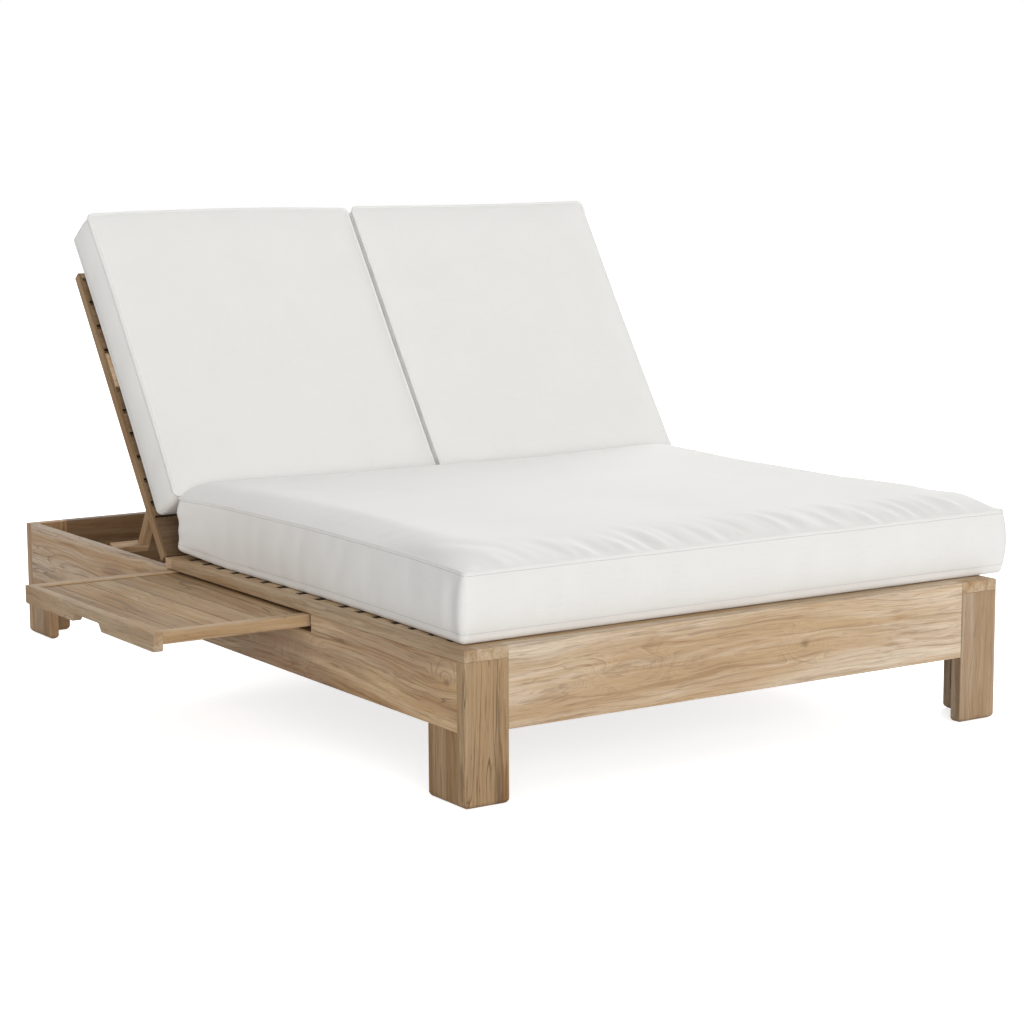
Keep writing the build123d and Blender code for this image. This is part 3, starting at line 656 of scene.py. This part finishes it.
seatLook = {
    "seed": 3,
    "fall": 0.015,             # height of the lower seam
    "boxing": 0.125,           # from seam to seam
    "crown": 0.030,            # how far the top rises over the upper seam
    "bow": 0.007,              # how far the sides swell
    "corner": 0.017,           # radius of the upright corners
    "pucker": 0.0080,          # height of the gathers along the upper seam
    "shoulder": (0.095, 0.05, 0.20, 0.030),      # from the left, right, front and rear seam to the full crown
    "steeper": 0.50,           # how much sooner that is, on the left towards the rear and in front to the right
    "draw": (0.034, 0.012, 0.006, 0.006),        # how far each of those sides pulls in halfway along
    "flare": 0.008,            # how far the rear left corner stands out again
    "lean": (0.0, 0.010, 0.0, 0.0),              # how far the two front and two rear corners go to the right
    "twist": 0.0,              # how far the underside's corners go the other way
    "spread": (0.008, 0.022),  # how far the left side's lower edge stands out, in front and halfway
    "lift": 0.014,             # how far the rear left corner is off the deck
    "crumple": 0.010,          # how uneven that corner is
    "crease": 0.006,           # the soft fold on the left side beside the front corner
    "longer": 0.0,             # how far the cover hangs below the foam's lower end
    "welt": 0.0028,            # half the width of the upper seam's turned edge
}
backLook = {**dict.fromkeys(("steeper", "flare", "lift", "crumple", "crease"), 0.0),
            "fall": 0.014, "crown": 0.010, "bow": 0.004, "corner": 0.016, "pucker": 0.0022,
            "shoulder": (0.09, 0.09, 0.09, 0.09), "spread": (0.0, 0.0), "longer": 0.005,
            "twist": 1.6, "welt": 0.0038}
cushionLooks = {
    "seat_cushion": seatLook,
    "left_back_cushion": {**backLook, "seed": 11, "boxing": 0.090, "draw": (0.004, 0.002, 0.002, -0.007),
                          "lean": (0.006, 0.0, 0.005, 0.006)},
    "right_back_cushion": {**backLook, "seed": 23, "boxing": 0.098, "draw": (-0.001, 0.003, 0.002, 0.003),
                           "lean": (-0.005, 0.0, 0.001, 0.017)},
}
hingeLine = Vector((0.0, 1.286, 0.310))


def cushionPlace(nodeName):
    # the cushion's own upright frame: Z is square to the surface that it lies on
    if nodeName == "seat_cushion":
        return Matrix.Translation((0.0, 0.0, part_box(nodeName)[0].z))
    return Matrix.Translation(hingeLine) @ Matrix.Rotation(backAngle, 4, "X")


def slicePlanes(work, axis, low, high):
    count = max(2, round((high - low) / cushions["step"]))
    for number in range(1, count):
        cutLevel(work, axis, low + (high - low) * number / count)


def cutLevel(work, axis, place):
    point, normal = Vector(), Vector()
    point[axis] = place
    normal[axis] = 1.0
    everything = work.verts[:] + work.edges[:] + work.faces[:]
    bmesh.ops.bisect_plane(work, geom=everything, dist=0.00001, plane_co=point, plane_no=normal)


def roundEdges(work, edges, radius, segments):
    bmesh.ops.bevel(work, geom=edges, offset=radius, offset_type="OFFSET", segments=segments, profile=0.5,
                    affect="EDGES", material=-1)


def cushionBlank(low, high, look):
    # low and high are the seam line's corners; the blank starts flat topped, inside the finished shape
    seamLow, seamHigh = look["fall"], look["fall"] + look["boxing"]
    work = bmesh.new()
    bmesh.ops.create_cube(work, size=1.0)
    middle = ((high.x + low.x) / 2, (high.y + low.y) / 2, seamHigh / 2)
    bmesh.ops.scale(work, vec=(high.x - low.x, high.y - low.y, seamHigh), verts=work.verts)
    bmesh.ops.translate(work, vec=middle, verts=work.verts)
    upright = [e for e in work.edges if abs(e.verts[0].co.z - e.verts[1].co.z) > 0.01]
    roundEdges(work, upright, look["corner"], 5)
    underside = [e for e in work.edges if max(v.co.z for v in e.verts) < 0.0001]
    roundEdges(work, underside, look["fall"] * 0.8, 3)
    slicePlanes(work, 0, low.x, high.x)
    slicePlanes(work, 1, low.y, high.y)
    sewn = cushions["seamEdge"]
    levels = [seamLow, seamLow + sewn / 2, seamLow + sewn, seamLow + sewn * 1.7]
    levels += [seamHigh - sewn * 1.7, seamHigh - sewn, seamHigh - sewn / 2]
    inner, rows = look["boxing"] - sewn * 3.4, cushions["levels"]
    for level in levels + [seamLow + sewn * 1.7 + inner * row / rows for row in range(1, rows)]:
        cutLevel(work, 2, level)
    bmesh.ops.remove_doubles(work, verts=work.verts, dist=0.0008)
    work.normal_update()
    return work, seamLow, seamHigh


def shoulder(away, reach):
    return 1 - (1 - min(1.0, max(0.0, away) / reach)) ** 2


def foamShape(work, low, high, seamLow, seamHigh, look):
    # the foam's own form, before its cover swells: a crowned top and bowed sides
    left, right, front, rear = look["shoulder"]
    steeper = look["steeper"]
    work.normal_update()
    moved = {}
    for vert in work.verts:
        p = vert.co
        if p.z > seamHigh - cushions["tolerance"]:
            across, along = (p.x - low.x) / (high.x - low.x), (p.y - low.y) / (high.y - low.y)
            rise = shoulder(p.x - low.x, left * (1 - steeper * along)) * shoulder(high.x - p.x, right)
            rise *= shoulder(p.y - low.y, front * (1 - steeper * across)) * shoulder(high.y - p.y, rear)
            moved[vert] = p + Vector((0.0, 0.0, look["crown"] * rise))
        elif p.z > seamLow + cushions["tolerance"]:
            level = (p.z - seamLow) / look["boxing"]
            out = Vector((vert.normal.x, vert.normal.y, 0.0)).normalized()
            # the bow dies away towards the rear left corner
            calm = 1 - 0.8 * (high.x - p.x) / (high.x - low.x) * ((p.y - low.y) / (high.y - low.y)) ** 2
            moved[vert] = p + out * look["bow"] * calm * 4 * level * (1 - level)
    for vert, place in moved.items():
        vert.co = place


def share(value):
    return min(1.0, max(0.0, value))


def settle(point, low, high, look):
    # sides drawn in between the corners, and corners pulled a little out of square
    across = share((point.x - low.x) / (high.x - low.x))
    along = share((point.y - low.y) / (high.y - low.y))
    left, right, front, rear = look["draw"]
    nearLeft, nearRight, nearFront, nearRear = ((1 - s) ** 3 for s in (across, 1 - across, along, 1 - along))
    bowAlong, bowAcross = (4 * along * (1 - along)) ** 0.8, (4 * across * (1 - across)) ** 0.8
    x = point.x + bowAlong * (left * nearLeft - right * nearRight)
    y = point.y + bowAcross * (front * nearFront - rear * nearRear)
    x -= look["flare"] * nearLeft * max(0.0, (along - 0.8) / 0.2) ** 2
    level = point.z / (look["fall"] + look["boxing"])
    inFront, halfway = look["spread"]
    spread = inFront * max(0.0, 1 - along / 0.5) + halfway * bowAlong
    x -= spread * share(1 - level) * nearLeft
    atRear = max(0.0, (along - 0.82) / 0.18) ** 1.3
    z = point.z + look["lift"] * max(0.0, 1 - level) * nearLeft ** 3 * atRear
    corner = nearLeft ** 3 * max(0.0, (along - 0.88) / 0.12)
    x += look["crumple"] * corner * noise.noise(Vector((point.z * 34.0, along * 9.0, look["seed"])))
    behindCorner = (point.y - low.y - 0.045) / 0.022
    fold = nearLeft ** 4 * 2.718 ** -(behindCorner * behindCorner)
    x += look["crease"] * fold * max(0.0, 4 * level * (1 - level))
    frontLeft, frontRight, rearLeft, rearRight = look["lean"]
    lean = 1 + look["twist"] * (share(level) - 1)
    x += lean * (frontLeft * (1 - across) + frontRight * across) * (1 - along)
    x += lean * (rearLeft * (1 - across) + rearRight * across) * along
    return Vector((x, y, z))


def seamLoop(work, level, topFace):
    # the ring of vertices round the cushion at one level, in order
    def onSeam(edge):
        flat = all(abs(v.co.z - level) < 0.0002 for v in edge.verts)
        if not flat or len(edge.link_faces) != 2:
            return False
        return (not topFace) or any(abs(f.normal.z) < 0.5 for f in edge.link_faces)

    links = {}
    for edge in filter(onSeam, work.edges):
        for vert, other in ((edge.verts[0], edge.verts[1]), (edge.verts[1], edge.verts[0])):
            links.setdefault(vert.index, []).append(other.index)
    first = next(iter(links))
    order, before, now = [first], None, first
    while True:
        onward = [index for index in links[now] if index != before]
        if not onward or onward[0] == first:
            break
        before, now = now, onward[0]
        order.append(now)
    return order


def evenOut(mesh, pushes, held):
    # shares each vertex's push with its neighbours, so that the cover swells smoothly
    near = [[] for vert in mesh.vertices]
    for edge in mesh.edges:
        first, second = edge.vertices
        near[first].append(second)
        near[second].append(first)

    def shared(index, push):
        if index in held or not near[index]:
            return push
        return push * 0.4 + sum((pushes[other] for other in near[index]), Vector()) * (0.6 / len(near[index]))

    for turn in range(cushions["evening"]):
        pushes = [shared(index, push) for index, push in enumerate(pushes)]
    return pushes


def inflate(piece, pinned):
    # the foam pushes the cover out between its seams
    group = piece.vertex_groups.new(name="seams")
    group.add(pinned, 1.0, "REPLACE")
    cover = piece.modifiers.new("Cloth", "CLOTH")
    cover.settings.quality = 5
    cover.settings.mass = cushions["mass"]
    cover.settings.tension_stiffness = cushions["stiffness"]
    cover.settings.compression_stiffness = cushions["stiffness"]
    cover.settings.shear_stiffness = cushions["shear"]
    cover.settings.bending_stiffness = cushions["bending"]
    cover.settings.use_pressure = True
    cover.settings.uniform_pressure_force = cushions["pressure"]
    cover.settings.shrink_min = cushions["slack"]
    cover.settings.vertex_group_mass = "seams"
    cover.settings.effector_weights.gravity = 0.0
    cover.collision_settings.use_collision = False
    cover.point_cache.frame_start, cover.point_cache.frame_end = 1, cushions["frames"]
    for step in range(1, cushions["frames"] + 1):
        bpy.context.scene.frame_set(step)
    shape = piece.evaluated_get(bpy.context.evaluated_depsgraph_get())
    moved = [v.co.copy() for v in shape.data.vertices]
    piece.modifiers.remove(cover)
    piece.vertex_groups.clear()
    bpy.context.scene.frame_set(1)
    return moved


def puckerAt(point, low, high, look):
    # short gathers that run in from the top seam and die away, in clusters
    fromSide = min(point.x - low.x, high.x - point.x)
    fromEnd = min(point.y - low.y, high.y - point.y)
    toSeam = min(fromSide, fromEnd)
    seed = look["seed"]
    run = point.x + toSeam * 0.4 if fromEnd < fromSide else point.y + 7.0
    cluster = noise.noise(Vector((run * gathers["clusters"], seed, 0.5)))
    cluster = max(0.0, cluster + 0.40)
    gather = noise.noise(Vector((run * gathers["fine"], toSeam * 6.0, seed)))
    gather += 0.7 * noise.noise(Vector((run * gathers["coarse"], toSeam * 4.0, seed + 1.0)))
    reach = max(0.0, 1 - toSeam / gathers["reach"]) ** 1.2
    rise = min(1.0, max(0.0, toSeam) / gathers["rise"])
    broad = noise.noise(Vector((point.x * gathers["broad"], point.y * gathers["broad"], seed + 4.0)))
    calm = 1 - 0.85 * min(1.0, (point.y - low.y) / (high.y - low.y) * 1.6)
    return look["pucker"] * calm * (gather * cluster * reach * rise * 1.9 + broad * 0.9 * rise)


def coverShape(piece, flat, foam, pushes, held, outward, box, heights, look):
    # the swollen, gathered and settled cover, vertex by vertex
    (low, high), (seamLow, seamHigh) = box, heights
    sewn, hair, seed = cushions["seamEdge"], cushions["tolerance"], look["seed"]
    for index, vert in enumerate(piece.data.vertices):
        before, push = flat[index], pushes[index]
        after = foam[index].copy()
        if push.length > 0:
            after += push.normalized() * cushions["swell"] * tanh(push.length / cushions["swell"])
        if before.z > seamHigh - hair and index not in held:
            after.z += puckerAt(before, low, high, look)
        if min(abs(before.z - (seamHigh - sewn)), abs(before.z - (seamLow + sewn))) < hair:
            after -= outward[index].normalized() * cushions["groove"]
        wobble = cushions["wobble"] if before.z > seamLow - 0.001 else 0.0
        after.x += wobble * noise.noise(Vector((before.y * 4, before.z * 9, seed)))
        after.y += wobble * noise.noise(Vector((before.x * 4, before.z * 9, seed + 2.0)))
        after.z += wobble * noise.noise(Vector((before.x * 3, before.y * 3, seed + 5.0)))
        after = settle(after, low, high, look)
        after.z = max(after.z, 0.0006)
        vert.co = after


def makeCushion(nodeName):
    look = cushionLooks[nodeName]
    place = cushionPlace(nodeName)
    back = place.inverted()
    corners = [back @ v.co for v in frame["nodes"][nodeName].data.vertices]
    bulge = cushions["bulge"]
    lowEnd = min(p.y for p in corners) + bulge - look["longer"]
    low = Vector((min(p.x for p in corners) + bulge, lowEnd, 0.0))
    high = Vector((max(p.x for p in corners) - bulge, max(p.y for p in corners) - bulge, 0.0))
    work, seamLow, seamHigh = cushionBlank(low, high, look)
    work.verts.index_update()
    work.edges.index_update()
    loops = [(seamLoop(work, seamHigh, True), -1.0), (seamLoop(work, seamLow, False), 1.0)]
    pinned = sorted({index for loop, way in loops for index in loop}
                    | {v.index for v in work.verts if v.co.z < seamLow - 0.0005})
    flat = [v.co.copy() for v in work.verts]
    outward = [Vector((v.normal.x, v.normal.y, 0.0)) for v in work.verts]
    foamShape(work, low, high, seamLow, seamHigh, look)
    foam = [v.co.copy() for v in work.verts]
    mesh = bpy.data.meshes.new(nodeName + "Cover")
    work.to_mesh(mesh)
    work.free()
    piece = bpy.data.objects.new(nodeName + "Cover", mesh)
    bpy.context.scene.collection.objects.link(piece)
    covered = inflate(piece, pinned)
    held = set(pinned)
    pushes = [Vector() if index in held else covered[index] - foam[index] for index in range(len(foam))]
    pushes = evenOut(mesh, pushes, held)
    coverShape(piece, flat, foam, pushes, held, outward, (low, high), (seamLow, seamHigh), look)
    smooth = piece.modifiers.new("Round", "SUBSURF")
    smooth.levels = smooth.render_levels = 1
    shaped = bpy.data.meshes.new_from_object(piece.evaluated_get(bpy.context.evaluated_depsgraph_get()))
    piece.modifiers.remove(smooth)
    piece.data = shaped
    for face in shaped.polygons:
        face.use_smooth = True
    seams = [([shaped.vertices[index].co.copy() for index in loop], way) for loop, way in loops]
    spots = [v.co.copy() for v in shaped.vertices]
    layer = shaped.attributes.new("clothSpot", "FLOAT_VECTOR", "POINT")
    layer.data.foreach_set("vector", [v for spot in spots for v in spot])
    tree = BVHTree.FromPolygons(spots, [tuple(f.vertices) for f in shaped.polygons])
    shaped.transform(place)
    shaped.materials.clear()
    shaped.materials.append(cloth)
    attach(piece, bodyOf[nodeName])
    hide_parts(nodeName)
    sewWelt(nodeName, seams[0], place)
    sewStitches(nodeName, seams, tree, place, (low + high) / 2)


def addSewing(nodeName, name, mesh, material):
    mesh.materials.clear()
    mesh.materials.append(material)
    piece = bpy.data.objects.new(nodeName + name, mesh)
    bpy.context.scene.collection.objects.link(piece)
    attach(piece, bodyOf[nodeName])


def sewWelt(nodeName, seam, place):
    # the turned edge of the cover along the upper seam
    radius = cushionLooks[nodeName]["welt"]
    points, way = seam
    curve = bpy.data.curves.new("welt", "CURVE")
    curve.dimensions = "3D"
    line = curve.splines.new("POLY")
    line.points.add(len(points) - 1)
    for target, point in zip(line.points, points):
        target.co = (point.x, point.y, point.z + way * radius * 0.3, 1.0)
    line.use_cyclic_u = True
    curve.bevel_depth = radius
    curve.bevel_resolution = 2
    holder = bpy.data.objects.new("weltHolder", curve)
    bpy.context.scene.collection.objects.link(holder)
    mesh = bpy.data.meshes.new_from_object(holder.evaluated_get(bpy.context.evaluated_depsgraph_get()))
    bpy.data.objects.remove(holder)
    mesh.transform(place)
    for face in mesh.polygons:
        face.use_smooth = True
    addSewing(nodeName, "Welt0", mesh, weltCloth)


def resample(points, pitch):
    ring = points + [points[0]]
    lengths = [(b - a).length for a, b in zip(ring, ring[1:])]
    total = sum(lengths)
    count = int(total / pitch)
    placed, index, walked = [], 0, 0.0
    for number in range(count):
        target = total * number / count
        while walked + lengths[index] < target:
            walked += lengths[index]
            index += 1
        share = (target - walked) / lengths[index]
        direction = (ring[index + 1] - ring[index]).normalized()
        placed.append((ring[index].lerp(ring[index + 1], share), direction))
    return placed


def sewStitches(nodeName, seams, tree, place, centre):
    # one row of topstitching on the boxing beside each seam
    work = bmesh.new()
    radius = cushions["stitchRadius"]
    for points, way in seams:
        for spot, along in resample(points, cushions["stitchPitch"]):
            out = Vector((along.y, -along.x, 0.0)).normalized()
            if out.dot(Vector((spot.x - centre.x, spot.y - centre.y, 0.0))) < 0:
                out = -out
            aim = spot + Vector((0.0, 0.0, way * cushions["seamEdge"])) + out * 0.03
            hit, normal, face, away = tree.ray_cast(aim, -out, 0.06)
            if hit is None:
                continue
            turn = Matrix((along, normal.cross(along).normalized(), normal)).transposed().to_4x4()
            lay = Matrix.Translation(hit) @ turn @ Matrix.Rotation(pi / 2, 4, "Y")
            bmesh.ops.create_cone(work, cap_ends=True, segments=5, radius1=radius, radius2=radius,
                                  depth=cushions["stitchLength"], matrix=lay)
    mesh = bpy.data.meshes.new(nodeName + "Stitches")
    work.to_mesh(mesh)
    work.free()
    mesh.transform(place)
    addSewing(nodeName, "Stitches", mesh, thread)


for nodeName in cushionNodes:
    makeCushion(nodeName)
    print("cushion sewn:", nodeName)

# ---- floor, light and camera
studio = {
    "floorShade": 0.86,
    "floorGlow": 0.74,         # seen by the camera only, so that the floor meets the white backdrop
    "floorSize": 30.0,         # half its width, in metres
    "worldLight": 0.43,
    # soft lights from behind, to the right, and from the front; side is counted from +Y towards +X
    "high": {"strength": 2.15, "height": 29, "side": 55, "spread": 45},
    "front": {"strength": 2.05, "height": 9, "side": 200, "spread": 50},
}
viewpoint = {
    "position": (-2.5069, -3.9345, 1.2704),
    "yaw": 33.21,              # degrees to the right of +Y, down, and clockwise
    "pitch": 8.55,
    "roll": -0.30,
    "lens": 88.04,             # millimetres, on a sensor of this width
    "sensor": 36.0,
}


def makeFloor():
    work = bmesh.new()
    bmesh.ops.create_grid(work, x_segments=2, y_segments=2, size=studio["floorSize"])
    mesh = bpy.data.meshes.new("studioFloor")
    work.to_mesh(mesh)
    work.free()
    floor = bpy.data.objects.new("studioFloor", mesh)
    bpy.context.scene.collection.objects.link(floor)
    material = newMaterial("studioFloorPaint")
    tree = material.node_tree
    shader = tree.nodes["Principled BSDF"]
    shade = studio["floorShade"]
    shader.inputs["Base Color"].default_value = (shade, shade, shade, 1.0)
    shader.inputs["Roughness"].default_value = 0.9
    shader.inputs["Specular IOR Level"].default_value = 0.1
    seen = addNode(tree, "ShaderNodeLightPath").outputs["Is Camera Ray"]
    shader.inputs["Emission Color"].default_value = (1.0, 1.0, 1.0, 1.0)
    tree.links.new(calc(tree, "MULTIPLY", seen, studio["floorGlow"]), shader.inputs["Emission Strength"])
    mesh.materials.append(material)


def makeLights():
    world = bpy.data.worlds.new("studioWorld")
    bpy.context.scene.world = world
    world.use_nodes = True
    tree = world.node_tree
    background = tree.nodes["Background"]
    background.inputs["Color"].default_value = (1.0, 1.0, 1.0, 1.0)
    path = addNode(tree, "ShaderNodeLightPath").outputs
    seen = calc(tree, "MAXIMUM", calc(tree, "MAXIMUM", path["Is Camera Ray"], path["Is Glossy Ray"]),
                path["Is Transmission Ray"])
    strength = fade(tree, seen, 0.0, 1.0, studio["worldLight"], 1.0)
    tree.links.new(strength, background.inputs["Strength"])
    for name in ("high", "front"):
        values = studio[name]
        height, side = radians(values["height"]), radians(values["side"])
        towards = Vector((sin(side) * cos(height), cos(side) * cos(height), sin(height)))
        sun = bpy.data.lights.new(name + "Light", "SUN")
        sun.energy = values["strength"]
        sun.angle = radians(values["spread"])
        lamp = bpy.data.objects.new(name + "Light", sun)
        bpy.context.scene.collection.objects.link(lamp)
        lamp.location = towards * 6
        lamp.rotation_euler = towards.to_track_quat("Z", "Y").to_euler()


def makeCamera():
    yaw, pitch, roll = (radians(viewpoint[name]) for name in ("yaw", "pitch", "roll"))
    forward = Vector((sin(yaw) * cos(pitch), cos(yaw) * cos(pitch), -sin(pitch)))
    right = Vector((cos(yaw), -sin(yaw), 0.0))
    up = right.cross(forward)
    tiltRight = right * cos(roll) + up * sin(roll)
    tiltUp = up * cos(roll) - right * sin(roll)
    camera = bpy.data.objects.new("camera", bpy.data.cameras.new("camera"))
    bpy.context.scene.collection.objects.link(camera)
    turn = Matrix((tiltRight, tiltUp, -forward)).transposed().to_4x4()
    camera.matrix_world = Matrix.Translation(viewpoint["position"]) @ turn
    camera.data.lens = viewpoint["lens"]
    camera.data.sensor_width = viewpoint["sensor"]
    bpy.context.scene.camera = camera


makeFloor()
makeLights()
makeCamera()
bpy.context.scene.view_settings.view_transform = "Standard"
print("floor, light and camera set")
